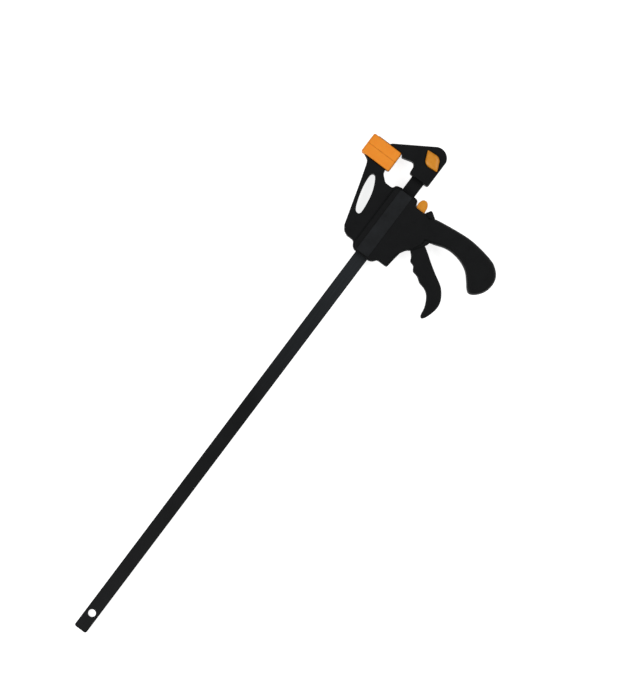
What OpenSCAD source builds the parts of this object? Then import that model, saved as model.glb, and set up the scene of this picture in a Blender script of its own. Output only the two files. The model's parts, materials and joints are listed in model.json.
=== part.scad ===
// Quick release bar clamp, lying on its side, with its jaws closed.
// Origin: centre of the hanging hole in the bar's free end, at the bar's mid-plane.
// +X runs along the bar to the fixed jaw, +Y from the bar to the jaw pads, +Z across the clamp.

/* [Bar] */
// Length of the steel bar
bar_length = 837; // [700:1:1000]
// Depth of the bar, seen from the side
bar_width = 20; // [19:0.25:20.5]
// Thickness of the bar
bar_thickness = 6; // [5:0.25:6.25]
// Radius of the bar's corners
bar_corner = 3; // [1:0.5:5]
// Diameter of the holes in both ends of the bar
hole_diameter = 11; // [10:0.25:12]
// Distance from the free end to the hanging hole
hang_inset = 28; // [20:1:40]
// Distance from the jaw end to the lock hole
lock_inset = 20; // [18:0.5:22]

/* [Jaws and pads] */
// Distance from the bar to the near edge of the pads
throat = 30; // [26:1:40]
// Length of a pad along the jaw
pad_length = 48; // [44:1:52]
// Thickness of a pad from its back to its clamping face
pad_depth = 15.6; // [14:0.2:18]
// Width of a pad across the clamp
pad_width = 28; // [24:1:32]
// Gap left between the two closed pads
pad_gap = 0.2; // [0.2:0.1:1]
// Thickness of the jaw plates inside the pads
plate_depth = 6; // [4:0.5:7]
// Distance from the closing plane to the jaw end of the bar
jaw_reach = 52.5; // [50:0.5:60]
// Thickness of the fixed jaw across the clamp
jaw_width = 28; // [26:0.5:30]

/* [Head] */
// Length of the head's passage for the bar
head_length = 109; // [104:1:120]
// Distance from the closing plane back to the head's front collar
head_setback = 22.5; // [21:0.5:26]
// Thickness of the head's body across the clamp
body_width = 30; // [29:0.5:34]
// Thickness of the head's arm across the clamp
arm_width = 25; // [22:0.5:27]
// Height of the raised band along the bar passage
band_height = 1; // [0.5:0.25:2]
// Thickness of the shells' walls
wall = 2.6; // [2:0.1:2.8]
// Clearance of the passage round the bar
bar_clearance = 0.3; // [0.2:0.05:0.5]
// Radius that rounds the body's edges
edge_radius = 3; // [1.5:0.25:3.5]

/* [Grip] */
// Thickness of the grip across the clamp
grip_width = 31; // [28:0.5:32]
// Distance from the body to the end of the grip
grip_length = 126; // [115:1:145]

/* [Trigger] */
// Distance from the bar's edge down to the trigger's pin
pivot_drop = 36; // [34:0.5:38]
// Distance from the front collar back to the trigger's pin
pivot_setback = 51; // [49:0.5:52]
// Distance from the trigger's pin to its nose
nose_reach = 30; // [28:0.5:31]
// Radius of the trigger's nose
nose_radius = 4.5; // [3.5:0.25:4.75]
// Swing of the trigger
trigger_swing = 26; // [20:1:26]
// Thickness of the trigger
trigger_width = 19; // [16:0.5:20]
// Diameter of the trigger's pin
trigger_pin_d = 6; // [5:0.25:7]

/* [Drive and brake] */
// Thickness of each drive plate
drive_plate_t = 2.5; // [2:0.25:3]
// Thickness of the brake plate
brake_plate_t = 4; // [3:0.25:4]
// Width of the plates across the clamp
plate_width = 22; // [20:0.5:24]
// Tilt of the brake plate while it holds the bar
brake_tilt = 8; // [6:0.5:8]
// Diameter of the pin behind the top of the brake plate
brake_pin_d = 5; // [4:0.25:5]
// Wire of the drive spring
drive_wire = 1.5; // [1:0.1:1.6]
// Wire of the brake spring
brake_wire = 1; // [0.8:0.1:1.2]
// Outer diameter of the brake spring
brake_coil_d = 8; // [7:0.25:8.5]
// Running clearance of a pin in the part that turns on it
pin_clearance = 0.06; // [0.03:0.01:0.1]

/* [Jaw lock] */
// Length of the lens-shaped lock knob between its tips
lens_length = 32; // [30:0.5:33]
// Width of the lens-shaped lock knob
lens_width = 19.6; // [19:0.2:20.4]
// Height of the lock knob above the jaw's side
lens_height = 4.5; // [4:0.25:6]
// Clearance of the lock pin in the bar's hole
lock_clearance = 0.2; // [0.1:0.05:0.5]
// Travel of the lock knob
lock_travel = 2.8; // [2.6:0.1:3]

/* [Screws] */
// Diameter of the shell screws
screw_d = 3.5; // [3:0.25:4]
// Diameter of the shell screws' heads
screw_head_d = 6.6; // [6:0.1:7]

/* [Hidden] */
$fn = 72;

seat = 0.2;            // gap between parts that lie against each other
slack = 0.4;           // gap between the bar and the plates that ride on it
ease_turns = [24, 100]; // corners that turn by an angle in this range are eased
bar_half = bar_width / 2;
bar_side = bar_thickness / 2;
bar_end = bar_length - hang_inset;
lock_x = bar_end - lock_inset;
closing_x = bar_end - jaw_reach;
head_x = closing_x - head_setback;
head_rear = head_x - head_length;
body_side = body_width / 2;
arm_side = arm_width / 2;
grip_side = grip_width / 2;
jaw_side = jaw_width / 2;
band_side = body_side + band_height;
inner_side = body_side - wall;

// Pads and jaw plates
pad_low = bar_half + throat;
pad_high = pad_low + pad_length;
pad_back = closing_x - pad_gap / 2 - pad_depth;
jaw_back = closing_x + pad_gap / 2 + pad_depth;
pad_round = 2.5;
face_round = 0.3;      // rounding of the edges of a pad's clamping face
plate_margin = 4;      // the jaw plate ends this far inside the pad's edges
plate_behind = 2.6;    // rubber behind the jaw plate
neck_half = pad_length / 2 - 8;
pad_mid = (pad_low + pad_high) / 2;

// Trigger and drive plates
pivot = [head_x - pivot_setback, -bar_half - pivot_drop];
nose_start = trigger_swing / 2;
nose = pivot + nose_reach * [sin(nose_start), cos(nose_start)];
drive_x = nose.x - nose_radius - seat;
drive_stroke = 2 * nose_reach * sin(nose_start);
drive_top = bar_half + 5;
drive_low = nose.y - 3.5;
hub_radius = 9;
slot_side = trigger_width / 2 + 0.7;

// Grip
grip_top = -bar_half - 35;
grip_ribs = 3;
grip_rib_pitch = grip_length / 6;

// Brake plate, which hangs from its top edge and leans forward by its tilt
brake_top = bar_half + 6.5;
brake_x = head_x - 14;
brake_length = 50;
brake_hole = (bar_width + brake_plate_t * sin(brake_tilt) + 2 * 0.3) / cos(brake_tilt);
function on_brake(along, out) = [
    brake_x + along * sin(brake_tilt) + out * cos(brake_tilt),
    brake_top - along * cos(brake_tilt) + out * sin(brake_tilt)
];
brake_pin_at = on_brake(2.6, brake_plate_t / 2 + brake_pin_d / 2 + seat);
cap_start = 37.4;
cap_end = 51.5;

// Chambers of the head, from the rear wall to the front wall
drive_chamber = [head_rear + 13, head_x - 36];
brake_chamber = [head_x - 28, head_x - 6.2];
chamber_top = drive_top + 2;
chamber_low = drive_low - 2;
spring_inner = norm([bar_half, bar_side]) + 0.25;
spring_mid = spring_inner + drive_wire / 2;
brake_spring_y = -bar_half - 2.6 - brake_coil_d / 2;
brake_spring_back = brake_chamber[0] - 2.7;
brake_along = (brake_top - brake_spring_y) / cos(brake_tilt);
brake_spring_front = on_brake(brake_along, -brake_plate_t / 2).x - seat - 0.6;

// Lock of the fixed jaw
knob_recess = 2.6;
stem_cover = 2.6;      // from the top of the lens down to the end of the lock pin's stem
retainer_t = 1.2;
lock_floor = jaw_side - knob_recess;
lock_shank_r = hole_diameter / 2 - lock_clearance;
lock_collar_r = lock_shank_r + 2.3;
lock_collar_t = 1;
lock_collar_z = bar_side + 0.6;
lock_tip_z = bar_side - lock_travel + seat;
lock_stem_r = 2.5;
lock_chamber_r = lock_collar_r + 0.4;
retainer_r = lock_chamber_r + 1.8;
lens_angle = 59;       // the lens leans this far from the bar
lens_tip = 1.3;        // radius of the lens's two tips
lens_gap = 0.5;        // gap between the lens and its recess
lens_rim = 2;          // the lens's wall stands this high above the jaw's side

// Screws: place, and the outer face of the shell that each one is driven through
boss_radius = screw_head_d / 2 + 1.4;
screw_places = [
    [head_rear + 23, bar_half + 25, arm_side],
    [head_x - 33, bar_half + 18, arm_side],
    [pad_back - seat - wall - boss_radius + 0.5, pad_low + 15.5, arm_side],
    [head_rear + 18, -bar_half - 20, body_side],
    [head_x - 22, grip_top - 17, grip_side],
    [head_x - 32, grip_top + 11 - grip_length, grip_side]
];
screw_sink = 2;

// ---------------------------------------------------------------- helpers

// Points along an arc
function arc_points(centre, r, from, to, n = 10) =
    [for (i = [0:n]) centre + r * [cos(from + (to - from) * i / n), sin(from + (to - from) * i / n)]];

// A point of the smooth curve that runs through b and c
function between(a, b, c, d, t) =
    0.5 * (2 * b + (c - a) * t + (2 * a - 5 * b + 4 * c - d) * t * t + (3 * b - a - 3 * c + d) * t * t * t);

// A smooth closed curve through all the points
function loop_points(p, n = 2) = let (m = len(p))
    [for (i = [0:m - 1], k = [0:n - 1])
        between(p[(i + m - 1) % m], p[i], p[(i + 1) % m], p[(i + 2) % m], k / n)];

// Moves points that are given from a corner of the part
function from_corner(x, y, p) = [for (q = p) [x + q.x, y + q.y]];

// The same points in the other direction
function reversed(p) = [for (i = [len(p) - 1:-1:0]) p[i]];

function unit(v) = v / norm(v);

// An outline whose corners are eased into short curves that start up to r before and after them
function eased(p, r, n = 2) = let (m = len(p))
    [for (i = [0:m - 1])
        let (back = p[(i + m - 1) % m] - p[i], on = p[(i + 1) % m] - p[i],
            turn = 180 - acos(unit(back) * unit(on)), stays = turn < ease_turns[0] || turn > ease_turns[1],
            c = stays ? 0 : min(r, norm(back) * 0.45, norm(on) * 0.45))
        for (k = [stays ? n : 0:n]) let (t = k / n)
            p[i] + c * (unit(back) * (1 - t) * (1 - t) + unit(on) * t * t)];

// An outline that runs anticlockwise, moved inwards by d
function inset(p, d) = let (m = len(p))
    [for (i = [0:m - 1])
        let (along = unit(p[i] - p[(i + m - 1) % m]) + unit(p[(i + 1) % m] - p[i]),
            side = [-along.y, along.x] / 2)
        p[i] + side * d / (side * side)];

// How far point c lies to the left of the line from a to b
function left_of(a, b, c) = (b.x - a.x) * (c.y - a.y) - (b.y - a.y) * (c.x - a.x);

// Whether corner i of an outline can be cut off; k lists the outline's points that are left
function is_ear(p, k, i) = let (m = len(k), a = p[k[(i + m - 1) % m]], b = p[k[i]], c = p[k[(i + 1) % m]])
    left_of(a, b, c) > 0 && len([for (j = [2:m - 2]) let (q = p[k[(i + j) % m]])
        if (left_of(a, b, q) >= 0 && left_of(b, c, q) >= 0 && left_of(c, a, q) >= 0) j]) == 0;

function first_ear(p, k, i = 0) = is_ear(p, k, i) ? i : first_ear(p, k, i + 1);

// Triangles that fill an outline, as lists of its points' numbers
function filled(p, k) = let (m = len(k)) m == 3 ? [k] : let (i = first_ear(p, k))
    concat([[k[(i + m - 1) % m], k[i], k[(i + 1) % m]]], filled(p, [for (j = [0:m - 1]) if (j != i) k[j]]));

// A solid that joins outlines, each with the same number of points, at rising heights
module lofted_solid(loops, heights) {
    m = len(loops[0]);
    top = len(loops) - 1;
    all_points = [for (k = [0:m - 1]) k];
    points = [for (i = [0:top], q = loops[i]) [q.x, q.y, heights[i]]];
    walls = [for (i = [0:top - 1], k = [0:m - 1]) let (j = (k + 1) % m)
        [i * m + k, (i + 1) * m + k, (i + 1) * m + j, i * m + j]];
    low_cap = filled(loops[0], all_points);
    high_cap = [for (t = filled(loops[top], all_points)) [for (k = reversed(t)) top * m + k]];
    polyhedron(points, concat(low_cap, walls, high_cap), convexity = 10);
}

// A solid that joins insets of one outline; each ring is [inset, height], from the bottom up
module ringed_solid(outline, rings) {
    lofted_solid([for (ring = rings) inset(outline, ring[0])], [for (ring = rings) ring[1]]);
}

// Rings of an edge rounded by r across and rz high, that ends at height h
function round_edge(h, r, rz, steps = 3) =
    [for (i = [0:steps]) let (a = 90 * i / steps) [r * (1 - cos(a)), h - rz + rz * sin(a)]];

// A slab from a lower to an upper height, with its upper edge rounded
module rounded_slab(outline, low, high, r, rz, steps = 2) {
    ringed_solid(outline, concat([[0, low]], round_edge(high, r, rz, steps)));
}

// A plate centred on the parting plane, with both edges rounded
module rounded_plate(outline, h, r, rz, steps = 2) {
    edge = round_edge(h / 2, r, rz, steps);
    ringed_solid(outline, concat([for (e = reversed(edge)) [e[0], -e[1]]], edge));
}

// Outline of a rounded rectangle between two corners
function rounded_box(low, high, r, n = 4) = concat(
    arc_points([high.x - r, low.y + r], r, -90, 0, n), arc_points([high.x - r, high.y - r], r, 0, 90, n),
    arc_points([low.x + r, high.y - r], r, 90, 180, n), arc_points([low.x + r, low.y + r], r, 180, 270, n));

// A straight prism between two corners of a box
module block(low, high) {
    translate(low) cube(high - low);
}

// A round wire wound along +Z from the origin, with one closed turn at each end
module coil(r_start, r_end, wire, length, turns, steps = 18, sides = 6) {
    total = turns * steps;
    tight = wire * 1.08;
    open_pitch = (length - wire - 2 * tight) / (turns - 2);
    function rise(t) = t < 1 ? t * tight : t > turns - 1 ? length - wire - (turns - t) * tight
        : tight + (t - 1) * open_pitch;
    rings = [for (i = [0:total]) let (t = i / steps, a = 360 * t, r = r_start + (r_end - r_start) * t / turns)
        [for (k = [0:sides - 1]) let (b = 360 * k / sides, q = r + wire / 2 * cos(b))
            [q * cos(a), q * sin(a), wire / 2 + rise(t) + wire / 2 * sin(b)]]];
    points = [for (ring = rings, p = ring) p];
    walls = [for (i = [0:total - 1], k = [0:sides - 1]) let (j = (k + 1) % sides)
        [i * sides + k, (i + 1) * sides + k, (i + 1) * sides + j, i * sides + j]];
    polyhedron(points, concat([[for (k = [0:sides - 1]) k]], walls,
        [[for (k = [sides - 1:-1:0]) total * sides + k]]), convexity = 10);
}

// ---------------------------------------------------------------- bar

module bar() {
    color("#26282b") difference() {
        translate([0, 0, -bar_side]) linear_extrude(bar_thickness)
            polygon(rounded_box([-hang_inset, -bar_half], [bar_end, bar_half], bar_corner));
        for (x = [0, lock_x])
            translate([x, 0, -bar_thickness]) cylinder(d = hole_diameter, h = 2 * bar_thickness);
    }
}

// The passage that lets the bar through a moulding
module bar_passage(from, to) {
    gap = [0, bar_half + bar_clearance, bar_side + bar_clearance];
    block([from, 0, 0] - gap, [to, 0, 0] + gap);
}

// ---------------------------------------------------------------- pads

// A soft pad that is slipped over a jaw plate, with its clamping face at x = 0 and its back at -pad_depth
module pad() {
    side = pad_width / 2;
    back_edge = [for (e = reversed(round_edge(pad_depth, pad_round, pad_round))) [e[0], -e[1]]];
    color("#eb8d28") difference() {
        translate([0, pad_mid, 0]) rotate([0, 90, 0])
            ringed_solid(rounded_box([-side, -pad_length / 2], [side, pad_length / 2], 4),
                concat(back_edge, [[0, -face_round], [face_round, 0]]));
        jaw_plate(seat);
        for (y = [-1, 1], i = [1:3])
            translate([0, pad_mid + y * (i - 0.5) * pad_length / 8, 0])
                rotate([90, 0, 90]) cylinder(d = 1.6, h = 1.6, center = true, $fn = 4);
    }
}

// The plate that carries a pad, with its neck, grown all round by a clearance
module jaw_plate(grow) {
    plate_x = -pad_depth + plate_behind;
    side = pad_width / 2 - plate_margin;
    block([plate_x - grow, pad_low + plate_margin - grow, -side - grow],
        [plate_x + plate_depth + grow, pad_high - plate_margin + grow, side + grow]);
    block([-pad_depth - 1, pad_mid - neck_half - grow, -side + 3 - grow],
        [plate_x + grow, pad_mid + neck_half + grow, side - 3 + grow]);
}

module moving_jaw_pad() { translate([closing_x - pad_gap / 2, 0, 0]) pad(); }

module fixed_jaw_pad() { translate([closing_x + pad_gap / 2, 0, 0]) mirror([1, 0, 0]) pad(); }

// ---------------------------------------------------------------- fixed jaw

// Side view of the fixed jaw
function fixed_jaw_outline() =
    let (heel = bar_end + 2, back = jaw_back + seat)
    concat(
        [[closing_x, -bar_half - 6.5], [heel - 12, -bar_half - 6.5]],
        arc_points([heel - 16, -1], 16, -70, 26, 8),
        [[back + 2.8, pad_low + 19.5], [back, pad_low + 21.5], [back, pad_low - 0.5],
         [back - 5, pad_low - 2], [back - 0.5, bar_half + 12], [closing_x + 15, bar_half + 9.5],
         [closing_x + 11.5, bar_half + 6.5], [closing_x, bar_half + 5.5]]
    );

module fixed_jaw() {
    color("#17181a") difference() {
        union() {
            rounded_plate(eased(fixed_jaw_outline(), 2.5), jaw_width, 1.5, 2.5, 3);
            translate([closing_x + pad_gap / 2, 0, 0]) mirror([1, 0, 0]) jaw_plate(0);
        }
        bar_passage(closing_x - 5, bar_end + 5);
        // Recess, spring chamber and retainer seat of the lock
        translate([lock_x, 0, lock_floor]) rotate([0, 0, lens_angle]) linear_extrude(jaw_side)
            polygon(lens_outline(-lens_gap));
        translate([lock_x, 0, 0]) cylinder(r = lock_chamber_r, h = jaw_side);
        translate([lock_x, 0, lock_floor - retainer_t]) cylinder(r = retainer_r, h = jaw_side);
    }
}

// ---------------------------------------------------------------- jaw lock

// Outline of the knob's lens: a round middle drawn out to two narrow tips, moved inwards by d
function lens_outline(d) =
    let (middle = lens_width / 2 - d, tip = lens_tip - d * (d > 0 ? 0.15 : 1),
        reach = lens_length / 2 - lens_tip - max(d, 0) * 1.4, a = acos((middle - tip) / reach))
    concat(arc_points([reach, 0], tip, -a, a, 4), arc_points([0, 0], middle, a, 180 - a, 8),
        arc_points([-reach, 0], tip, 180 - a, 180 + a, 4), arc_points([0, 0], middle, 180 + a, 360 - a, 8));

module lock_knob() {
    rim = knob_recess - seat + lens_rim;
    dome = lens_height - lens_rim;
    shrinks = [for (a = [0, 35, 65, 90]) [lens_width * 0.27 * (1 - cos(a)), rim + dome * sin(a)]];
    color("#d2851e") translate([lock_x, 0, lock_floor + seat]) difference() {
        rotate([0, 0, lens_angle])
            lofted_solid([lens_outline(0), for (k = shrinks) lens_outline(k[0])], [0, for (k = shrinks) k[1]]);
        translate([0, 0, -1]) cylinder(r = lock_stem_r + 0.03, h = knob_recess + lens_height - 1);
    }
}

module lock_pin() {
    color("#b9bcc0") translate([lock_x, 0, 0]) {
        translate([0, 0, lock_tip_z]) cylinder(r = lock_shank_r, h = lock_collar_z - lock_tip_z);
        translate([0, 0, lock_collar_z]) cylinder(r = lock_collar_r, h = lock_collar_t);
        translate([0, 0, lock_collar_z])
            cylinder(r = lock_stem_r, h = jaw_side + lens_height - stem_cover - lock_collar_z);
    }
}

module lock_spring() {
    base = lock_collar_z + lock_collar_t + 0.1;
    color("#c9ccd0") translate([lock_x, 0, base])
        coil(lock_collar_r - 1, lock_stem_r + 1.2, 0.9, lock_floor - retainer_t - 0.1 - base, 3.5, 16);
}

module lock_retainer() {
    color("#8d9094") translate([lock_x, 0, lock_floor - retainer_t]) difference() {
        cylinder(r = retainer_r - 0.05, h = retainer_t);
        translate([0, 0, -1]) cylinder(r = lock_stem_r + 0.4, h = retainer_t + 2);
    }
}

// ---------------------------------------------------------------- head

// Side view of the body and the arm, from the front collar's top round by the rear to its bottom
function head_outline() =
    let (arm_x = pad_back - head_x - seat)
    from_corner(head_x, 0, [
        [0, bar_half + 2], [-2, bar_half + 10], [-8, bar_half + 12], [-8, pad_low - 7], [-7, pad_low - 4.5],
        [0.5, pad_low + 4.2], [arm_x, pad_low + 5], [arm_x, pad_low + 42], [3, pad_low + 34],
        [-4, pad_low + 31], [-29, pad_low + 23], [-69, pad_low + 11], [20 - head_length, bar_half + 35],
        [13 - head_length, bar_half + 30], [10 - head_length, bar_half + 23], [10 - head_length, bar_half + 13],
        [8 - head_length, bar_half + 10.5], [3 - head_length, bar_half + 8], [-head_length, bar_half + 2.5],
        [-head_length, -bar_half - 2.5], [3 - head_length, -bar_half - 8], [8 - head_length, -bar_half - 11],
        [8 - head_length, -bar_half - 28], [-89, -bar_half - 29], [-74, -bar_half - 31],
        [-66, -bar_half - 35.5], [-61, -bar_half - 43], [-47, -bar_half - 52], [-40, -bar_half - 56],
        [-28, -bar_half - 53], [-13, -bar_half - 48], [-6.5, -bar_half - 41],
        [-1.5, -bar_half - 33.5], [-0.5, -bar_half - 30.5],
        [-8, -bar_half - 26], [-8, -bar_half - 9.5], [-1.5, -bar_half - 7], [0, -bar_half - 4]
    ]);

// Side view of the thick part of the body, which stands a step inside the head's outline
function body_outline() =
    from_corner(head_x, 0, [
        [-2, bar_half + 1], [-4, bar_half + 8], [-10, bar_half + 10], [12 - head_length, bar_half + 10],
        [5 - head_length, bar_half + 6], [2 - head_length, bar_half + 1.5], [2 - head_length, -bar_half - 1.5],
        [5 - head_length, -bar_half - 6], [10 - head_length, -bar_half - 10],
        [10 - head_length, -bar_half - 26], [-88, -bar_half - 27], [-75, -bar_half - 29],
        [-67, -bar_half - 33.5], [-60, -bar_half - 42], [-46, -bar_half - 48.5], [-30, -bar_half - 47],
        [-13, -bar_half - 39], [-10, -bar_half - 27], [-10, -bar_half - 8.5], [-3.5, -bar_half - 5],
        [-2, -bar_half - 2]
    ]);

// Side view of the window in the arm
function window_outline() =
    loop_points(from_corner(head_x, pad_low, [
        [-65, 1.5], [-62, -3.4], [-44, -2], [-27, 2], [-12, 9], [-8, 13.5], [-11.5, 17.6],
        [-26, 16.8], [-44, 12.5], [-60, 6.5]
    ]), 3);

// Side view of the grip, from its top down the palm side, round its end and up the finger side
function grip_outline() =
    let (end = grip_top + 5 - grip_length)
    reversed(loop_points(concat(
        from_corner(head_x, grip_top, [
            [-30, 2], [-12, 4], [-6.5, -8], [-3.2, -28], [-0.8, -48], [0, -66], [-2, -86]
        ]),
        from_corner(head_x, end, [
            [-6, 16], [-11, 6.5], [-20, -2], [-32, -5], [-46, -2.5], [-57, 5.5], [-61.5, 14], [-58, 20.5],
            [-49, 28], [-39, 38]
        ]),
        from_corner(head_x, grip_top, [[-32.5, -69], [-30, -54], [-31, -42], [-35, -30], [-39, -18], [-41, -6]])
    ), 3));

// Room for the trigger: its hub, its swinging arm and the mouth below
module trigger_slot_2d() {
    translate(pivot) circle(hub_radius + 0.6);
    polygon([
        pivot + [-hub_radius - 5, -30], pivot + [-hub_radius - 5, 0],
        [drive_chamber[0] + 30, chamber_low + 4], [drive_chamber[1], chamber_low + 4],
        pivot + [14.5, 4], pivot + [14.5, -30]
    ]);
}

// Everything that is taken out of a shell from its parting plane
module head_hollows() {
    // Passage for the bar
    bar_passage(head_rear - 1, head_x + 1);
    // Chamber of the drive spring and plates
    block([drive_chamber[0], chamber_low, -1], [drive_chamber[1], chamber_top, inner_side]);
    // Slot of the trigger
    translate([0, 0, -1]) linear_extrude(slot_side + 1) trigger_slot_2d();
    // Chamber of the brake plate: room to swing, and a pocket that holds its top end
    block([brake_chamber[0], cap_low - 2, -1], [brake_chamber[1], bar_half + 2.5, inner_side]);
    block([on_brake(0, -brake_plate_t / 2).x - 0.6, bar_half, -1],
        [brake_chamber[1], brake_top + 2.2, inner_side]);
    // Mouth in the front wall and window in the side, where the release cap comes out
    block([brake_chamber[1] - 1, cap_low - 1.5, -1], [head_x + 5, cap_high + 0.8, inner_side - 0.2]);
    linear_extrude(body_width)
        polygon(rounded_box([cap_back + 0.5, cap_low - 0.5], [head_x + 5, cap_high + 0.6], 1));
    // Seat of the brake spring
    translate([brake_spring_back, brake_spring_y, 0]) rotate([0, 90, 0])
        cylinder(d = brake_coil_d + 0.8, h = brake_chamber[0] - brake_spring_back + 1);
    // Lightening pockets, with a rib between them
    difference() {
        translate([0, 0, -1]) linear_extrude(arm_side - wall + 1) offset(delta = -wall) difference() {
            polygon(head_outline());
            polygon(window_outline());
            translate([head_rear, -bar_half - 80]) square([head_length + 30, bar_half + 80 + chamber_top]);
        }
        bosses();
        for (x = [head_x - 70, head_x - 20])
            block([x, bar_half, -1], [x + wall, pad_high, arm_side]);
    }
    // Hollow of the grip, with ribs across it
    difference() {
        translate([0, 0, -1]) linear_extrude(grip_side - 5) offset(delta = -5.5) difference() {
            polygon(grip_outline());
            translate([head_rear, -bar_half - 48]) square([head_length, 60]);
        }
        bosses();
        for (i = [0:grip_ribs - 1])
            translate([head_x - pivot_setback, grip_top - (i + 2) * grip_rib_pitch, -2])
                cube([2 * grip_width, wall, grip_side]);
    }
    // Holes for the trigger's pin and the brake plate's pin
    translate([pivot.x, pivot.y, -1]) cylinder(d = trigger_pin_d, h = pin_reach + 1);
    translate([brake_pin_at.x, brake_pin_at.y, -1]) cylinder(d = brake_pin_d, h = pin_reach + 1);
}

pin_reach = body_side - 2;
cap_high = on_brake(cap_start, 0).y;
cap_low = on_brake(cap_end, 0).y;
cap_back = on_brake(cap_end, -brake_plate_t / 2 - 2).x;

// Bosses that the shell screws go through
module bosses() {
    for (p = screw_places)
        translate([p.x, p.y, -1]) cylinder(r = boss_radius, h = body_width);
}

// Outer form of one shell, on the side of the parting plane where z is positive
module shell_outside() {
    difference() {
        union() {
            rounded_slab(eased(head_outline(), 2.5), -1, arm_side, edge_radius / 2, edge_radius);
            rounded_slab(eased(body_outline(), 3), 3, body_side, edge_radius / 2, edge_radius);
            rounded_slab(grip_outline(), -2, grip_side, 4.5, 10, 3);
            translate([0, 0, 6]) linear_extrude(band_side - 6)
                polygon(rounded_box([head_rear + 3, 1.5 - bar_half], [head_x - 3, bar_half + 1], 2));
            translate([closing_x - pad_gap / 2, 0, 0]) jaw_plate(0);
        }
        block([head_rear - 5, -2 * grip_length, -pad_width], [closing_x, 2 * pad_high, 0]);
        translate([0, 0, -1]) linear_extrude(body_width) polygon(window_outline());
    }
}

// One shell with its hollows
module shell() {
    difference() {
        shell_outside();
        head_hollows();
    }
}

module head_front_shell() {
    color("#161719") difference() {
        shell();
        for (p = screw_places)
            translate([p.x, p.y, -1]) cylinder(d = screw_d, h = p.z - wall + 1);
    }
}

module head_back_shell() {
    color("#131416") mirror([0, 0, 1]) difference() {
        shell();
        for (p = screw_places) translate([p.x, p.y, -1]) {
            cylinder(d = screw_d + 0.4, h = body_width);
            translate([0, 0, p.z - screw_sink + 1 - screw_head_h])
                cylinder(d = screw_head_d + 0.4, h = body_width);
        }
    }
}

screw_head_h = 2.2;

module shell_screws() {
    color("#8a8d91") for (p = screw_places) translate([p.x, p.y, 0]) {
        difference() {
            translate([0, 0, screw_sink - p.z]) cylinder(d = screw_head_d, h = screw_head_h);
            translate([0, 0, screw_sink - p.z - 1]) linear_extrude(2.2)
                for (a = [0, 90]) rotate(a) square([screw_head_d * 0.6, 1], center = true);
        }
        translate([0, 0, screw_sink - p.z + screw_head_h])
            cylinder(d = screw_d, h = 2 * p.z - screw_sink - screw_head_h - wall - 0.5);
    }
}

// ---------------------------------------------------------------- trigger

// Side view of the trigger's hooked blade, with three ridges between the fingers
function blade_outline() =
    loop_points(from_corner(pivot.x, pivot.y, [
        [-6, 1], [-11.2, -4], [-17.4, -10.4], [-23.7, -13.6], [-26.2, -20.4], [-32.6, -25], [-34.6, -33.4],
        [-40, -41.8], [-42, -50.4], [-46, -57.6], [-53.2, -63.3], [-63.5, -67.9], [-74.5, -70], [-77.8, -73.2],
        [-74.6, -77], [-64, -80.9], [-53, -82.6], [-42.5, -80.6], [-32.6, -74.6], [-24.9, -66.6], [-17, -52.6],
        [-7, -36.6], [2.6, -22.4], [7, -13], [6, -3], [0, 4]
    ]), 3);

// The arm that joins the trigger's hub to its round nose, narrow enough to clear the drive plates
module nose_arm() {
    translate(nose) circle(nose_radius);
    hull() {
        translate(pivot) circle(nose_radius);
        translate(nose) circle(nose_radius - 2);
    }
}

module trigger() {
    half = trigger_width / 2;
    color("#151618") difference() {
        union() {
            rounded_plate(blade_outline(), trigger_width, 1.2, 4);
            translate([pivot.x, pivot.y, -half - 0.3]) cylinder(r = hub_radius, h = trigger_width + 0.6);
            translate([0, 0, 0.5 - half]) linear_extrude(trigger_width - 1) nose_arm();
        }
        translate([pivot.x, pivot.y, -trigger_width])
            cylinder(r = trigger_pin_d / 2 + pin_clearance, h = 2 * trigger_width);
    }
}

module trigger_pin() {
    color("#b4b7bb") translate([pivot.x, pivot.y, 0.1 - pin_reach])
        cylinder(d = trigger_pin_d, h = 2 * pin_reach - 0.2);
}

// ---------------------------------------------------------------- drive

module drive_plate(x) {
    color("#9a9da1") difference() {
        block([x - drive_plate_t, drive_low, -plate_width / 2], [x, drive_top, plate_width / 2]);
        block([x - 2 * drive_plate_t, -bar_half - slack, -bar_side - slack],
            [x + drive_plate_t, bar_half + slack, bar_side + slack]);
    }
}

module drive_plate_front() { drive_plate(drive_x); }

module drive_plate_rear() { drive_plate(drive_x - drive_plate_t); }

module drive_spring() {
    front = drive_x - 2 * drive_plate_t - 0.1;
    color("#c9ccd0") translate([drive_chamber[0] + 0.1, 0, 0]) rotate([0, 90, 0])
        coil(spring_mid, spring_mid, drive_wire, front - drive_chamber[0] - 0.1, 7, 20);
}

// ---------------------------------------------------------------- brake

// Places a part of the brake, drawn down from its top edge along -Y, at the plate's tilt
module along_brake() {
    translate([brake_x, brake_top, 0]) rotate([0, 0, brake_tilt]) children();
}

module brake_plate() {
    half = brake_plate_t / 2;
    bar_at = -brake_top / cos(brake_tilt);
    color("#9a9da1") along_brake() difference() {
        block([-half, 1 - brake_length, -plate_width / 2], [half, 1, plate_width / 2]);
        block([-brake_plate_t, bar_at - brake_hole / 2, -bar_side - slack],
            [brake_plate_t, bar_at + brake_hole / 2, bar_side + slack]);
    }
}

module brake_pin() {
    color("#b4b7bb") translate([brake_pin_at.x, brake_pin_at.y, -pin_reach + 0.1])
        cylinder(d = brake_pin_d, h = 2 * pin_reach - 0.2);
}

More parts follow.
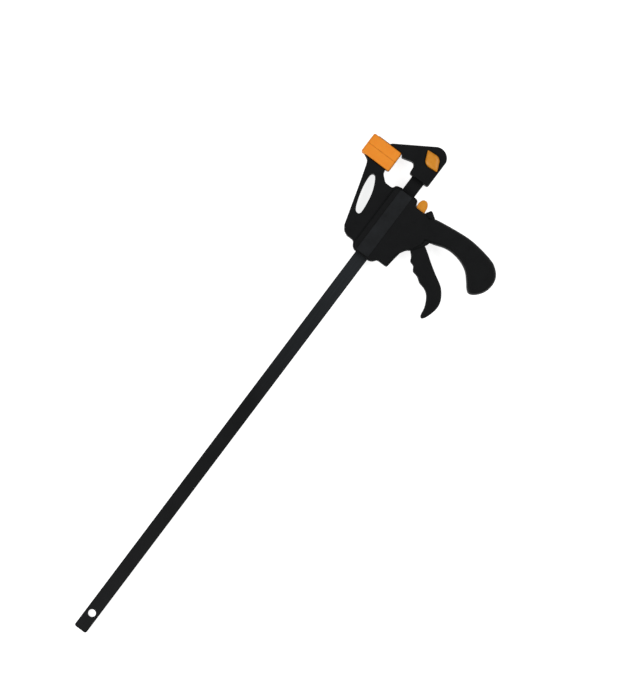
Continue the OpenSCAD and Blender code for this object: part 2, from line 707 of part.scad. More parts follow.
module release_cap() {
    half = brake_plate_t / 2;
    cap_side = plate_width / 2 + 1;
    color("#d2851e") along_brake() difference() {
        rounded_plate(concat(
            [[-half - 2, -cap_start], [-half - 2, -cap_end], [half + 4, -cap_end]],
            arc_points([half + 5.5, (-cap_start - cap_end) / 2], 6, -70, 70, 8), [[half + 4, -cap_start]]
        ), 2 * cap_side, 1.2, 1.5);
        block([-half - 0.05, 1 - brake_length - 0.05, -plate_width / 2 - 0.05],
            [half + 0.05, 0, plate_width / 2 + 0.05]);
    }
}

module brake_spring() {
    color("#c9ccd0") translate([brake_spring_back + 0.1, brake_spring_y, 0]) rotate([0, 90, 0])
        coil((brake_coil_d - brake_wire) / 2, (brake_coil_d - brake_wire) / 2, brake_wire,
            brake_spring_front - brake_spring_back - 0.1, 7, 14);
}

bar();
fixed_jaw();
fixed_jaw_pad();
lock_knob();
lock_pin();
lock_spring();
lock_retainer();
head_front_shell();
head_back_shell();
shell_screws();
moving_jaw_pad();
trigger();
trigger_pin();
drive_plate_front();
drive_plate_rear();
drive_spring();
brake_plate();
brake_pin();
release_cap();
brake_spring();
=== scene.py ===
# Quick release bar clamp, dressed for its looks and laid on a pale floor.
# Everything is in metres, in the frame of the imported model.

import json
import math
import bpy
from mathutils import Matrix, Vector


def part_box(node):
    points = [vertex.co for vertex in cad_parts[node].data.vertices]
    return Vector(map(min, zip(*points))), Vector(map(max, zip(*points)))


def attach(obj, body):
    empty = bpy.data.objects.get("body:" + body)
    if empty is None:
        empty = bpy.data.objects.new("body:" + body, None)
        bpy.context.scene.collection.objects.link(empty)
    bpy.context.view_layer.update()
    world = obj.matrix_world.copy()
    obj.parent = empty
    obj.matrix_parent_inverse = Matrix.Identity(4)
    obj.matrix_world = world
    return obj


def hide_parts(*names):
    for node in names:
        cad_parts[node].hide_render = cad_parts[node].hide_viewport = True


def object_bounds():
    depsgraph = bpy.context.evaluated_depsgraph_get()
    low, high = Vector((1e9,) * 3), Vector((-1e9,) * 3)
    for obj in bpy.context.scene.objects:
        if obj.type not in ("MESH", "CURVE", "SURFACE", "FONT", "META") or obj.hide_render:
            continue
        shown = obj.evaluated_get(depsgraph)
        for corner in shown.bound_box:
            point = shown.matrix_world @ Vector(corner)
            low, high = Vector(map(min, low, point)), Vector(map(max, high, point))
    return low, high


bl_info = {
    "name": "Quick release bar clamp",
    "version": (1, 0, 0),
    "blender": (4, 5, 0),
    "location": "View3D > Sidebar > Bar clamp",
    "description": "Dresses a quick release bar clamp and sets it on a floor",
    "category": "Object",
}

import bmesh
import bpy
from mathutils import Matrix, Vector

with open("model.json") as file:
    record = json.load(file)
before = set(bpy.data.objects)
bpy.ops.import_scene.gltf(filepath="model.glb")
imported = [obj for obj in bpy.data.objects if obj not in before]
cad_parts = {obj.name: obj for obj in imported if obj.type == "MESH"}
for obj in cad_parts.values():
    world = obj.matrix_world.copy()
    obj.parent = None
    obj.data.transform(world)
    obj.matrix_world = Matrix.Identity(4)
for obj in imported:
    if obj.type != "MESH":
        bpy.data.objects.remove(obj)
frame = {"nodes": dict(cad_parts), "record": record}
CAD_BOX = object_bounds()
NODES = frame["nodes"]
BODIES = frame["record"]["behaviour"]["bodies"]
MM = 0.001

# Points closer than this are one when a CAD node's loose triangles are joined
JOIN_WITHIN = 0.002 * MM
# Neighbouring faces that turn less than this are one flat face
FLAT_WITHIN = math.radians(0.2)
# Points that a rounding has left on each other
TOUCHING = 0.001 * MM
# Edges that turn more than this stay sharp in the shading
SHARP = math.radians(38)
# The room that a rounding needs, in times its width: on a plain edge that it ends on, and on another
# rounded edge that meets it at less than CORNER
ROOM_TO_END = 1.2
ROOM_AT_CORNER = 2.2
CORNER = math.radians(120)
# How far under the shell's outermost flat a face may lie and still be its band
BAND_DEPTH = 0.05 * MM

# Where along the bar the greyer track begins to show, is full, thins out and ends: partly worn where
# the head rubs, partly a painted sheen near the head
TRACK_SHEEN_BEGINS = 0.35
TRACK_SHEEN_FULL = 0.60
TRACK_SHEEN_THINS = 0.68
TRACK_SHEEN_ENDS = 0.72

# Where along the bar the head's side meets the floor, and the air left under what lies on the floor
HEAD_RESTS_AT = 0.63
FLOOR_GAP = 0.2 * MM
FLOOR_REACH = 6.0
# The floor's paper: how much light it gives back, and how bright it looks of itself to the camera
PAPER_TONE = 0.6
PAPER_GLOW = 0.83
# The sky as a light on the clamp; where it is seen it is 1, which is white
SKY_LIGHT = 0.3
# Soft boxes: name, place from the clamp's middle, side, and power in watts
SOFT_BOXES = (
    ("soft_box_left", (-0.9, 0.9, 1.5), 1.2, 25.0),
    ("soft_box_right", (1.1, -0.7, 1.3), 1.0, 14.0),
)
# The picture's points across and down, where the middle of the bar's free end shows in it, and how
# many points a metre of the clamp takes
PICTURE = Vector((639, 700))
FREE_END_SHOWS_AT = Vector((80, 629))
POINTS_PER_METRE = 0.716 / MM


# ---------------------------------------------------------------- small tools


def linear(hex_colour):
    """A colour written as sRGB hex, as the linear colour a shader reads."""
    parts = [int(hex_colour[i : i + 2], 16) / 255 for i in (1, 3, 5)]
    return tuple(c / 12.92 if c <= 0.04045 else ((c + 0.055) / 1.055) ** 2.4 for c in parts) + (1,)


def node(tree, kind, settings=None, **inputs):
    """Adds a shader node. settings are its own properties. inputs are values, or sockets to link, by
    the socket's name, or by i and its number where several have one name."""
    made = tree.nodes.new(kind)
    for key, value in (settings or {}).items():
        setattr(made, key, value)
    for key, value in inputs.items():
        numbered = key[0] == "i" and key[1:].isdigit()
        socket = made.inputs[int(key[1:]) if numbered else key.replace("_", " ")]
        if isinstance(value, bpy.types.NodeSocket):
            tree.links.new(value, socket)
        else:
            socket.default_value = value
    return made


def add_object(name, data):
    """Puts an object with this data into the scene."""
    made = bpy.data.objects.new(name, data)
    bpy.context.scene.collection.objects.link(made)
    return made


def add_mesh(name, mesh, materials):
    """Puts a finished mesh into the scene with its materials."""
    data = bpy.data.meshes.new(name)
    mesh.to_mesh(data)
    mesh.free()
    for material in materials:
        data.materials.append(material)
    return add_object(name, data)


def merged(name):
    """A mesh of one CAD node whose loose triangles are joined and whose flat faces are whole."""
    mesh = bmesh.new()
    mesh.from_mesh(NODES[name].data)
    bmesh.ops.remove_doubles(mesh, verts=mesh.verts, dist=JOIN_WITHIN)
    bmesh.ops.dissolve_limit(
        mesh, angle_limit=FLAT_WITHIN, verts=mesh.verts, edges=mesh.edges, use_dissolve_boundaries=False
    )
    return mesh


def with_room(edges, width):
    """Those of the edges whose neighbours are long enough for a rounding of that width to end on."""
    chosen = set(edges)
    while True:
        cramped = set()
        for edge in chosen:
            for corner in edge.verts:
                for other in corner.link_edges:
                    if other is edge:
                        continue
                    length = other.calc_length()
                    if other not in chosen:
                        if length < ROOM_TO_END * width:
                            cramped.add(edge)
                        continue
                    one, two = (e.other_vert(corner).co - corner.co for e in (edge, other))
                    if one.angle(two) < CORNER and length < ROOM_AT_CORNER * width:
                        cramped.add(min(edge, other, key=lambda e: e.calc_length()))
        if not cramped:
            return [edge for edge in edges if edge in chosen]
        chosen -= cramped


def soften(mesh, width, over, segments):
    """Rounds the outer corners that turn more than over degrees."""
    limit = math.radians(over)
    corners = [
        edge
        for edge in mesh.edges
        if len(edge.link_faces) == 2 and edge.is_convex and edge.calc_face_angle(0) > limit
    ]
    bmesh.ops.bevel(
        mesh,
        geom=with_room(corners, width),
        offset=width,
        offset_type="OFFSET",
        segments=segments,
        profile=0.5,
        affect="EDGES",
        clamp_overlap=False,
        material=-1,
    )


def mark_band(mesh):
    """Gives the shell's raised band, which is its outermost flat, the second material."""
    reach = max(abs(v.co.z) for v in mesh.verts)
    for face in mesh.faces:
        face.material_index = int(all(abs(v.co.z) > reach - BAND_DEPTH for v in face.verts))


def dress(kind, names, materials, edge, over=50, segments=2, banded=False):
    """Puts a finished piece in the place of each of these CAD nodes, with its outer corners that turn
    more than over degrees rounded."""
    for name in names:
        mesh = merged(name)
        if banded:
            mark_band(mesh)
        soften(mesh, edge, over, segments)
        bmesh.ops.remove_doubles(mesh, verts=mesh.verts, dist=TOUCHING)
        for face in mesh.faces:
            face.smooth = True
        for rim in mesh.edges:
            rim.smooth = rim.calc_face_angle(math.pi) < SHARP
        piece = add_mesh(f"{kind}_{name}", mesh, materials)
        # shade the flats as flat and leave the turning of the light to the rounded edges
        weigh = piece.modifiers.new("weigh_normals", "WEIGHTED_NORMAL")
        weigh.keep_sharp = True
        body = next(body for body, members in BODIES.items() if name in members)
        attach(piece, body)
        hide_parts(name)


# ---------------------------------------------------------------- finishes


def empty_tree(owner):
    """The node tree of a material or a world, emptied."""
    owner.use_nodes = True
    owner.node_tree.nodes.clear()
    return owner.node_tree


def new_material(name):
    """A material, its empty tree, and the place on the object that its patterns go by."""
    material = bpy.data.materials.new(name)
    tree = empty_tree(material)
    return material, tree, node(tree, "ShaderNodeTexCoord").outputs["Object"]


def surface(tree, colour, roughness, height, strength, distance, **fixed):
    """The shader that all the clamp's finishes end in. height is bumped by strength over distance, and
    fixed holds what is the same all over."""
    bump = node(tree, "ShaderNodeBump", Strength=strength, Distance=distance, Height=height)
    shader = node(
        tree, "ShaderNodeBsdfPrincipled",
        Base_Color=colour, Roughness=roughness, Normal=bump.outputs[0], **fixed,
    )
    node(tree, "ShaderNodeOutputMaterial", Surface=shader.outputs[0])


def layered(tree, ground, *layers):
    """A ground colour under layers, each a factor and the colour that shows where it is 1."""
    tone = linear(ground)
    for factor, colour in layers:
        tone = node(
            tree, "ShaderNodeMix", {"data_type": "RGBA"}, Factor=factor, i6=tone, i7=linear(colour)
        ).outputs[2]
    return tone


def outer_edges(tree, reach):
    """1 on corners that stick out, fading to 0 on flat ground within reach of them."""
    settings = {"inside": True, "only_local": True, "samples": 8}
    open_share = node(tree, "ShaderNodeAmbientOcclusion", settings, Distance=reach).outputs["AO"]
    return node(tree, "ShaderNodeMapRange", Value=open_share, From_Min=0.78, From_Max=0.42).outputs[0]


def hollows(tree, reach):
    """1 in corners and gaps that dirt and shade keep to, fading to 0 in the open."""
    open_share = node(tree, "ShaderNodeAmbientOcclusion", {"samples": 8}, Distance=reach).outputs["AO"]
    return node(tree, "ShaderNodeMapRange", Value=open_share, From_Min=0.75, From_Max=0.25).outputs[0]


def moulded_nylon(name, colours, grain, roughness, gloss):
    """Black glass-filled nylon, injection moulded in a spark-eroded tool: a fine dull grain, rubbed
    a little smoother and greyer where hands and benches touch its edges."""
    material, tree, place = new_material(name)
    # grain of the tool, 0.45 mm across, coarser than the real 0.1 mm so that it shows
    pits = node(
        tree, "ShaderNodeTexVoronoi", {"feature": "SMOOTH_F1"},
        Vector=place, Scale=1 / (0.45 * MM), Smoothness=1.0,
    )
    # handled patches, 14 mm across, and scuffs on the edges, 1.1 mm across
    clouds = node(
        tree, "ShaderNodeTexNoise", Vector=place, Scale=1 / (14 * MM), Detail=5.0, Roughness=0.55
    )
    fine = node(
        tree, "ShaderNodeTexNoise", Vector=place, Scale=1 / (1.1 * MM), Detail=3.0, Roughness=0.6
    )
    patches = node(
        tree, "ShaderNodeMapRange", Value=clouds.outputs[0], From_Min=0.3, From_Max=0.7
    ).outputs[0]
    scuffs = node(
        tree, "ShaderNodeMapRange", Value=fine.outputs[0], From_Min=0.35, From_Max=0.75
    ).outputs[0]
    rubbed = node(
        tree, "ShaderNodeMath", {"operation": "MULTIPLY", "use_clamp": True},
        i0=outer_edges(tree, 1.2 * MM), i1=scuffs,
    ).outputs[0]
    dull = node(
        tree, "ShaderNodeMath", {"operation": "MULTIPLY_ADD"}, i0=patches, i1=0.10, i2=roughness
    ).outputs[0]
    tone = layered(tree, colours[0], (patches, colours[1]), (rubbed, colours[2]))
    surface(
        tree, tone, dull, pits.outputs["Distance"],
        strength=0.6 * grain, distance=0.12 * MM, Specular_IOR_Level=gloss,
    )
    return material


def blackened_bar(name, colours):
    """Carbon steel bar, rolled, blackened and oiled: dark with a soft sheen, faint lines along it from
    rolling, and a greyer track near the head, partly worn where the head's plates and passage rub and
    partly a painted sheen."""
    material, tree, place = new_material(name)
    # rolling lines, 60 mm long and 0.3 mm apart, coarser than the real 0.1 mm so that they show
    along = node(
        tree, "ShaderNodeMapping", Vector=place, Scale=(1 / (60 * MM), 1 / (0.3 * MM), 1 / (0.3 * MM))
    )
    lines = node(
        tree, "ShaderNodeTexNoise", Vector=along.outputs[0], Scale=1.0, Detail=4.0, Roughness=0.6
    ).outputs[0]
    # oily patches, 35 mm across
    clouds = node(
        tree, "ShaderNodeTexNoise", Vector=place, Scale=1 / (35 * MM), Detail=4.0, Roughness=0.5
    ).outputs[0]
    patches = node(tree, "ShaderNodeMapRange", Value=clouds, From_Min=0.3, From_Max=0.7).outputs[0]
    # the greyer track, partly worn where the head rubs and partly a painted sheen, streaked with the
    # rolling lines
    along_bar = node(tree, "ShaderNodeSeparateXYZ", Vector=place).outputs["X"]
    starts = node(
        tree, "ShaderNodeMapRange", Value=along_bar, From_Min=TRACK_SHEEN_BEGINS, From_Max=TRACK_SHEEN_FULL
    )
    ends = node(
        tree, "ShaderNodeMapRange", Value=along_bar, From_Min=TRACK_SHEEN_ENDS, From_Max=TRACK_SHEEN_THINS
    )
    track_and_sheen_span = node(
        tree, "ShaderNodeMath", {"operation": "MINIMUM"}, i0=starts.outputs[0], i1=ends.outputs[0]
    ).outputs[0]
    streaks = node(
        tree, "ShaderNodeMapRange",
        Value=lines, From_Min=0.42, From_Max=0.62, To_Min=0.45, To_Max=1.0,
    ).outputs[0]
    track = node(
        tree, "ShaderNodeMath", {"operation": "MULTIPLY", "use_clamp": True}, i0=track_and_sheen_span, i1=streaks
    ).outputs[0]
    scuffs = node(tree, "ShaderNodeMapRange", Value=clouds, From_Min=0.35, From_Max=0.65).outputs[0]
    worn = node(
        tree, "ShaderNodeMath", {"operation": "MULTIPLY", "use_clamp": True},
        i0=outer_edges(tree, 0.9 * MM), i1=scuffs,
    ).outputs[0]
    dull = node(
        tree, "ShaderNodeMath", {"operation": "MULTIPLY_ADD"}, i0=lines, i1=0.18, i2=0.33
    ).outputs[0]
    tone = layered(tree, colours[0], (patches, colours[1]), (track, colours[2]), (worn, colours[3]))
    surface(
        tree, tone, dull, lines,
        strength=0.12, distance=0.03 * MM, Metallic=0.4, Specular_IOR_Level=0.2,
    )
    return material


def soft_pad(name, colours):
    """Orange thermoplastic elastomer, moulded: satin, slightly waxy, with a fine grain, and painted
    shade that darkens its inner corners."""
    material, tree, place = new_material(name)
    # grain of the mould, 0.5 mm across, coarser than the real 0.1 mm so that it shows, and faint
    # patches, 9 mm across
    grain = node(
        tree, "ShaderNodeTexNoise", Vector=place, Scale=1 / (0.5 * MM), Detail=3.0, Roughness=0.6
    )
    clouds = node(
        tree, "ShaderNodeTexNoise", Vector=place, Scale=1 / (9 * MM), Detail=4.0, Roughness=0.5
    ).outputs[0]
    patches = node(tree, "ShaderNodeMapRange", Value=clouds, From_Min=0.3, From_Max=0.7).outputs[0]
    dull = node(
        tree, "ShaderNodeMapRange", Value=clouds, From_Min=0.3, From_Max=0.7, To_Min=0.48, To_Max=0.60
    ).outputs[0]
    # painted shade: the inner corners, within 3 mm of them, darken to the corner colour
    tone = layered(tree, colours[0], (patches, colours[1]), (hollows(tree, 3 * MM), colours[2]))
    surface(
        tree, tone, dull, grain.outputs[0], strength=0.4, distance=0.08 * MM,
        Subsurface_Weight=0.06, Subsurface_Scale=1.5 * MM, Specular_IOR_Level=0.3,
    )
    return material


def orange_plastic(name, colours):
    """Orange acetal for the lever and the knob: moulded, satin, harder and a little glossier than the
    pads."""
    material, tree, place = new_material(name)
    # grain of the mould, 0.4 mm across, coarser than the real 0.05 mm so that it shows, and faint
    # patches, 6 mm across
    grain = node(tree, "ShaderNodeTexNoise", Vector=place, Scale=1 / (0.4 * MM), Detail=2.0)
    clouds = node(
        tree, "ShaderNodeTexNoise", Vector=place, Scale=1 / (6 * MM), Detail=4.0
    ).outputs[0]
    patches = node(tree, "ShaderNodeMapRange", Value=clouds, From_Min=0.3, From_Max=0.7).outputs[0]
    dull = node(
        tree, "ShaderNodeMapRange", Value=clouds, From_Min=0.3, From_Max=0.7, To_Min=0.34, To_Max=0.46
    ).outputs[0]
    # painted shade: the inner corners, within 4 mm of them, darken to the corner colour
    tone = layered(tree, colours[0], (patches, colours[1]), (hollows(tree, 4 * MM), colours[2]))
    surface(
        tree, tone, dull, grain.outputs[0],
        strength=0.15, distance=0.04 * MM, Specular_IOR_Level=0.35,
    )
    return material


def bright_steel(name, colours, roughness, marks):
    """Steel pins and screws under zinc plating, drawn spring wire and ground plates: metallic and
    fairly bright, a little rough from the marks of the tool."""
    material, tree, place = new_material(name)
    # marks of the tool, 0.25 mm across, coarser than the real 0.05 mm so that they show, and dull
    # patches, 2.5 mm across
    specks = node(tree, "ShaderNodeTexNoise", Vector=place, Scale=1 / (0.25 * MM), Detail=2.0)
    clouds = node(
        tree, "ShaderNodeTexNoise", Vector=place, Scale=1 / (2.5 * MM), Detail=4.0
    ).outputs[0]
    patches = node(tree, "ShaderNodeMapRange", Value=clouds, From_Min=0.35, From_Max=0.7).outputs[0]
    dull = node(
        tree, "ShaderNodeMapRange",
        Value=clouds, From_Min=0.3, From_Max=0.7, To_Min=roughness, To_Max=roughness + 0.14,
    ).outputs[0]
    tone = layered(tree, colours[0], (patches, colours[1]))
    surface(tree, tone, dull, specks.outputs[0], strength=marks, distance=0.01 * MM, Metallic=1.0)
    return material


# ---------------------------------------------------------------- sizes and colours


class ClampFinishes(bpy.types.PropertyGroup):
    """What a user of the clamp's model would change about its colours."""

    nylon: bpy.props.StringProperty(
        name="Nylon", description="Colour of the black mouldings", default="#090A0B"
    )
    nylon_light: bpy.props.StringProperty(
        name="Nylon, lighter", description="Lighter patches of the black mouldings", default="#0E0F10"
    )
    nylon_rubbed: bpy.props.StringProperty(
        name="Nylon, rubbed", description="Colour of the rubbed edges", default="#2C2E30"
    )
    band: bpy.props.StringProperty(
        name="Band", description="Colour of the head's polished band", default="#0D0F11"
    )
    band_light: bpy.props.StringProperty(
        name="Band, lighter", description="Lighter patches of the band", default="#131619"
    )
    bar: bpy.props.StringProperty(
        name="Bar", description="Colour of the blackened bar", default="#0C0D0E"
    )
    bar_light: bpy.props.StringProperty(
        name="Bar, lighter", description="Lighter patches of the bar", default="#131415"
    )
    # painted sheen: this lighter colour along the bar near the head is partly a worn track and partly a
    # painted sheen
    bar_track_and_sheen: bpy.props.StringProperty(
        name="Bar, track", description="Colour of the track that the head rubs", default="#2A2E31"
    )
    bar_bare: bpy.props.StringProperty(
        name="Bar, bare", description="Bare steel on its edges", default="#4A4D50"
    )
    pad: bpy.props.StringProperty(
        name="Pads", description="Colour of the soft pads", default="#E9881A"
    )
    pad_light: bpy.props.StringProperty(
        name="Pads, lighter", description="Lighter patches of the pads", default="#EC8E22"
    )
    # painted shade: the colour that the pads' inner corners darken to
    pad_corner_shade: bpy.props.StringProperty(
        name="Pads, dark", description="Grime in the pads' inner corners", default="#7A3A0C"
    )
    orange: bpy.props.StringProperty(
        name="Orange plastic", description="Colour of the knob and the lever", default="#C97E12"
    )
    orange_light: bpy.props.StringProperty(
        name="Orange plastic, lighter",
        description="Lighter patches of the orange plastic",
        default="#D38A22",
    )
    # painted shade: the colour that the orange plastic's inner corners darken to
    orange_corner_shade: bpy.props.StringProperty(
        name="Orange plastic, dark",
        description="Inner corners of the orange plastic",
        default="#7E430C",
    )
    zinc: bpy.props.StringProperty(
        name="Zinc", description="Colour of the plated pins and screws", default="#B4B7BB"
    )
    zinc_dark: bpy.props.StringProperty(
        name="Zinc, darker", description="Darker patches of the plating", default="#8F9397"
    )
    wire: bpy.props.StringProperty(
        name="Spring wire", description="Colour of the springs", default="#9A9DA1"
    )
    wire_dark: bpy.props.StringProperty(
        name="Spring wire, darker", description="Darker patches of the springs", default="#74777B"
    )
    plate: bpy.props.StringProperty(
        name="Plates", description="Colour of the ground steel plates", default="#8A8D91"
    )
    plate_dark: bpy.props.StringProperty(
        name="Plates, darker", description="Darker patches of the plates", default="#6B6E72"
    )


class ClampSizes(bpy.types.PropertyGroup):
    """Roundings and camera of the scene."""

    edge: bpy.props.FloatProperty(
        name="Mouldings' edges",
        description="Rounding of the mouldings' corners",
        default=0.45 * MM,
        unit="LENGTH",
    )
    bar_edge: bpy.props.FloatProperty(
        name="Bar's edges",
        description="Rounding of the bar's long edges",
        default=0.6 * MM,
        unit="LENGTH",
    )
    pad_edge: bpy.props.FloatProperty(
        name="Pads' edges",
        description="Rounding of the soft pads' corners",
        default=0.25 * MM,
        unit="LENGTH",
    )
    control_edge: bpy.props.FloatProperty(
        name="Controls' edges",
        description="Rounding of the release cap and the lock knob",
        default=0.5 * MM,
        unit="LENGTH",
    )
    pin_edge: bpy.props.FloatProperty(
        name="Pins' edges",
        description="Rounding of the pins, the retainer and the screws",
        default=0.12 * MM,
        unit="LENGTH",
    )
    plate_edge: bpy.props.FloatProperty(
        name="Plates' edges",
        description="Rounding of the drive and brake plates",
        default=0.25 * MM,
        unit="LENGTH",
    )
    lens: bpy.props.FloatProperty(
        name="Lens", description="Focal length of the camera", default=150.0, subtype="DISTANCE_CAMERA"
    )
    lean: bpy.props.FloatProperty(
        name="Lean",
        description="Angle of the bar in the picture",
        default=math.radians(53.0),
        subtype="ANGLE",
    )


def looks():
    """The scene's colours, as the user has set them."""
    return bpy.context.scene.clamp_finishes


def sizes():
    """The scene's roundings and camera, as the user has set them."""
    return bpy.context.scene.clamp_sizes


def material_named(name, maker, colours, **settings):
    """The material of that name, made on its first use."""
    return bpy.data.materials.get(name) or maker(name, colours, **settings)


# ---------------------------------------------------------------- pieces


class CLAMP_OT_bar(bpy.types.Operator):
    """Steel bar with its two holes"""

    bl_idname = "clamp.bar"
    bl_label = "Bar"

    def execute(self, context):
        f = looks()
        steel = material_named(
            "steel_blackened_rolled", blackened_bar, (f.bar, f.bar_light, f.bar_track_and_sheen, f.bar_bare)
        )
        dress("steel", ["bar"], [steel], sizes().bar_edge, over=60, segments=3)
        return {"FINISHED"}


class CLAMP_OT_mouldings(bpy.types.Operator):
    """Black mouldings: the fixed jaw, the head's two shells and the trigger"""

    bl_idname = "clamp.mouldings"
    bl_label = "Black mouldings"

    def execute(self, context):
        f, edge = looks(), sizes().edge
        nylon = material_named(
            "nylon_moulded_black", moulded_nylon, (f.nylon, f.nylon_light, f.nylon_rubbed),
            grain=0.9, roughness=0.52, gloss=0.11,
        )
        # the tool is polished at the band: a fainter grain, smoother and glossier
        band = material_named(
            "nylon_polished_black", moulded_nylon, (f.band, f.band_light, f.nylon_rubbed),
            grain=0.25, roughness=0.42, gloss=0.2,
        )
        shells = ["head_front_shell", "head_back_shell"]
        dress("moulded", ["fixed_jaw"], [nylon], edge)
        dress("moulded", shells, [nylon, band], edge, banded=True)
        dress("moulded", ["trigger"], [nylon], edge)
        return {"FINISHED"}


class CLAMP_OT_pads(bpy.types.Operator):
    """Soft orange pads over the two jaw plates"""

    bl_idname = "clamp.pads"
    bl_label = "Jaw pads"

    def execute(self, context):
        f = looks()
        rubber = material_named("elastomer_moulded_orange", soft_pad, (f.pad, f.pad_light, f.pad_corner_shade))
        dress("soft", ["moving_jaw_pad", "fixed_jaw_pad"], [rubber], sizes().pad_edge)
        return {"FINISHED"}


class CLAMP_OT_controls(bpy.types.Operator):
    """Orange controls: the release lever's cap and the lock knob"""

    bl_idname = "clamp.controls"
    bl_label = "Orange controls"

    def execute(self, context):
        f = looks()
        acetal = material_named(
            "acetal_moulded_orange", orange_plastic, (f.orange, f.orange_light, f.orange_corner_shade)
        )
        dress("orange", ["release_cap", "lock_knob"], [acetal], sizes().control_edge)
        return {"FINISHED"}


class CLAMP_OT_steelwork(bpy.types.Operator):
    """Plated pins and screws, springs and hardened plates"""

    bl_idname = "clamp.steelwork"
    bl_label = "Steelwork"

    def execute(self, context):
        f, s = looks(), sizes()
        zinc = material_named(
            "steel_zinc_plated", bright_steel, (f.zinc, f.zinc_dark), roughness=0.28, marks=0.25
        )
        wire = material_named(
            "steel_spring_wire", bright_steel, (f.wire, f.wire_dark), roughness=0.22, marks=0.15
        )
        ground = material_named(
            "steel_plate_ground", bright_steel, (f.plate, f.plate_dark), roughness=0.36, marks=0.4
        )
        pins = ["lock_pin", "lock_retainer", "shell_screws", "trigger_pin", "brake_pin"]
        plates = ["drive_plate_front", "drive_plate_rear", "brake_plate"]
        dress("steel", pins, [zinc], s.pin_edge, over=60)
        dress("steel", plates, [ground], s.plate_edge, over=60)
        # the springs stay CAD nodes, because they change length with the joints
        for name in ("lock_spring", "drive_spring", "brake_spring"):
            data = NODES[name].data
            data.materials.clear()
            data.materials.append(wire)
        return {"FINISHED"}


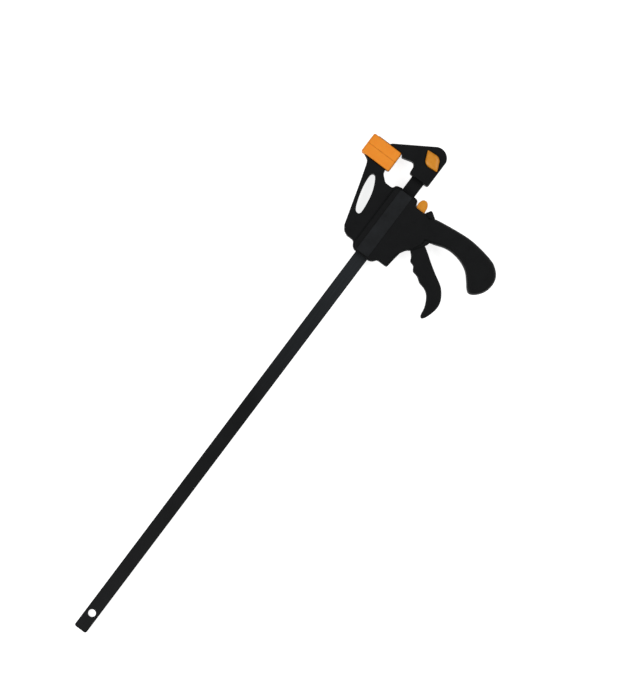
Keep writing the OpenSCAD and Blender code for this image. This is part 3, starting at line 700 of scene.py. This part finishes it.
class CLAMP_OT_stage(bpy.types.Operator):
    """Pale floor, soft studio light and the camera"""

    bl_idname = "clamp.stage"
    bl_label = "Stage"

    def execute(self, context):
        self.floor()
        self.lights()
        self.sky()
        self.camera()
        return {"FINISHED"}

    def floor(self):
        """Touches the head's lowest side and the bar's free end, as the clamp lies on it"""
        low = CAD_BOX[0]
        head = Vector((HEAD_RESTS_AT, 0.0, low.z - FLOOR_GAP))
        tail = Vector((low.x, 0.0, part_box("bar")[0].z - FLOOR_GAP))
        tilt = math.atan2(head.z - tail.z, head.x - tail.x)
        mesh = bmesh.new()
        bmesh.ops.create_grid(mesh, x_segments=2, y_segments=2, size=FLOOR_REACH)
        turn = Matrix.Translation(head) @ Matrix.Rotation(-tilt, 4, "Y")
        bmesh.ops.transform(mesh, matrix=turn, verts=mesh.verts)
        floor = add_mesh("floor", mesh, [self.paper()])

    def paper(self):
        """Matt white paper: it shows as white to the camera and in gloss, and keeps the shadows."""
        material = bpy.data.materials.new("paper_matt_white")
        tree = empty_tree(material)
        paths = node(tree, "ShaderNodeLightPath")
        seen = paths.outputs["Is Camera Ray"]
        for other in ("Is Glossy Ray", "Is Transmission Ray"):
            seen = node(
                tree, "ShaderNodeMath", {"operation": "MAXIMUM"}, i0=seen, i1=paths.outputs[other]
            ).outputs[0]
        glow = node(
            tree, "ShaderNodeMath", {"operation": "MULTIPLY"}, i0=seen, i1=PAPER_GLOW
        ).outputs[0]
        matt = node(tree, "ShaderNodeBsdfDiffuse", Color=(PAPER_TONE, PAPER_TONE, PAPER_TONE, 1))
        light = node(tree, "ShaderNodeEmission", Strength=glow)
        both = node(tree, "ShaderNodeAddShader", i0=matt.outputs[0], i1=light.outputs[0])
        node(tree, "ShaderNodeOutputMaterial", Surface=both.outputs[0])
        return material

    def lights(self):
        """Two soft boxes that look at the clamp's middle"""
        low, high = CAD_BOX
        centre = (low + high) / 2
        for name, offset, size, power in SOFT_BOXES:
            lamp = bpy.data.lights.new(name, "AREA")
            lamp.shape = "SQUARE"
            lamp.size = size
            lamp.energy = power
            holder = add_object(name, lamp)
            holder.location = centre + Vector(offset)
            holder.rotation_euler = (-Vector(offset)).to_track_quat("-Z", "Y").to_euler()

    def sky(self):
        """White where it is seen, and dimmer as a light on the clamp"""
        world = bpy.data.worlds.new("studio")
        bpy.context.scene.world = world
        tree = empty_tree(world)
        paths = node(tree, "ShaderNodeLightPath")
        seen = node(
            tree, "ShaderNodeMath", {"operation": "MAXIMUM"},
            i0=paths.outputs["Is Camera Ray"], i1=paths.outputs["Is Transmission Ray"],
        ).outputs[0]
        strength = node(
            tree, "ShaderNodeMapRange", Value=seen, To_Min=SKY_LIGHT, To_Max=1.0
        ).outputs[0]
        white = node(tree, "ShaderNodeBackground", Color=(1, 1, 1, 1), Strength=strength)
        node(tree, "ShaderNodeOutputWorld", Surface=white.outputs[0])

    def camera(self):
        """Looks straight down on the clamp's side, with the bar leaning as in a catalogue picture"""
        s = sizes()
        lens = bpy.data.cameras.new("camera")
        lens.lens = s.lens
        lens.sensor_width = 36
        lens.clip_end = 100
        camera = add_object("camera", lens)
        bpy.context.scene.camera = camera
        # the picture's long side is the sensor's width
        distance = lens.lens / lens.sensor_width * PICTURE.y / POINTS_PER_METRE
        turn = Matrix.Rotation(-s.lean, 4, "Z")
        from_middle = FREE_END_SHOWS_AT - PICTURE / 2
        across = Vector((from_middle.x, -from_middle.y, 0)) / POINTS_PER_METRE
        free_end = Vector((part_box("bar")[0].x, 0, 0))
        centre = free_end - turn @ across
        camera.matrix_world = Matrix.Translation(centre + Vector((0, 0, distance))) @ turn


# ---------------------------------------------------------------- panel


OPERATORS = (
    CLAMP_OT_bar,
    CLAMP_OT_mouldings,
    CLAMP_OT_pads,
    CLAMP_OT_controls,
    CLAMP_OT_steelwork,
    CLAMP_OT_stage,
)


class CLAMP_PT_panel(bpy.types.Panel):
    """Lists the clamp's finishes and the steps that dress it"""

    bl_idname = "CLAMP_PT_panel"
    bl_label = "Bar clamp"
    bl_space_type = "VIEW_3D"
    bl_region_type = "UI"
    bl_category = "Bar clamp"

    def draw(self, context):
        column = self.layout.column()
        for settings in (looks(), sizes()):
            for key in settings.__annotations__:
                column.prop(settings, key)
        for operator in OPERATORS:
            column.operator(operator.bl_idname)


CLASSES = (ClampFinishes, ClampSizes, *OPERATORS, CLAMP_PT_panel)


def register():
    for each in CLASSES:
        bpy.utils.register_class(each)
    bpy.types.Scene.clamp_finishes = bpy.props.PointerProperty(type=ClampFinishes)
    bpy.types.Scene.clamp_sizes = bpy.props.PointerProperty(type=ClampSizes)


def unregister():
    del bpy.types.Scene.clamp_sizes
    del bpy.types.Scene.clamp_finishes
    for each in reversed(CLASSES):
        bpy.utils.unregister_class(each)


def main():
    register()
    bpy.context.scene.view_settings.view_transform = "Standard"
    for operator in OPERATORS:
        group, name = operator.bl_idname.split(".")
        getattr(getattr(bpy.ops, group), name)()


if __name__ == "__main__":
    main()
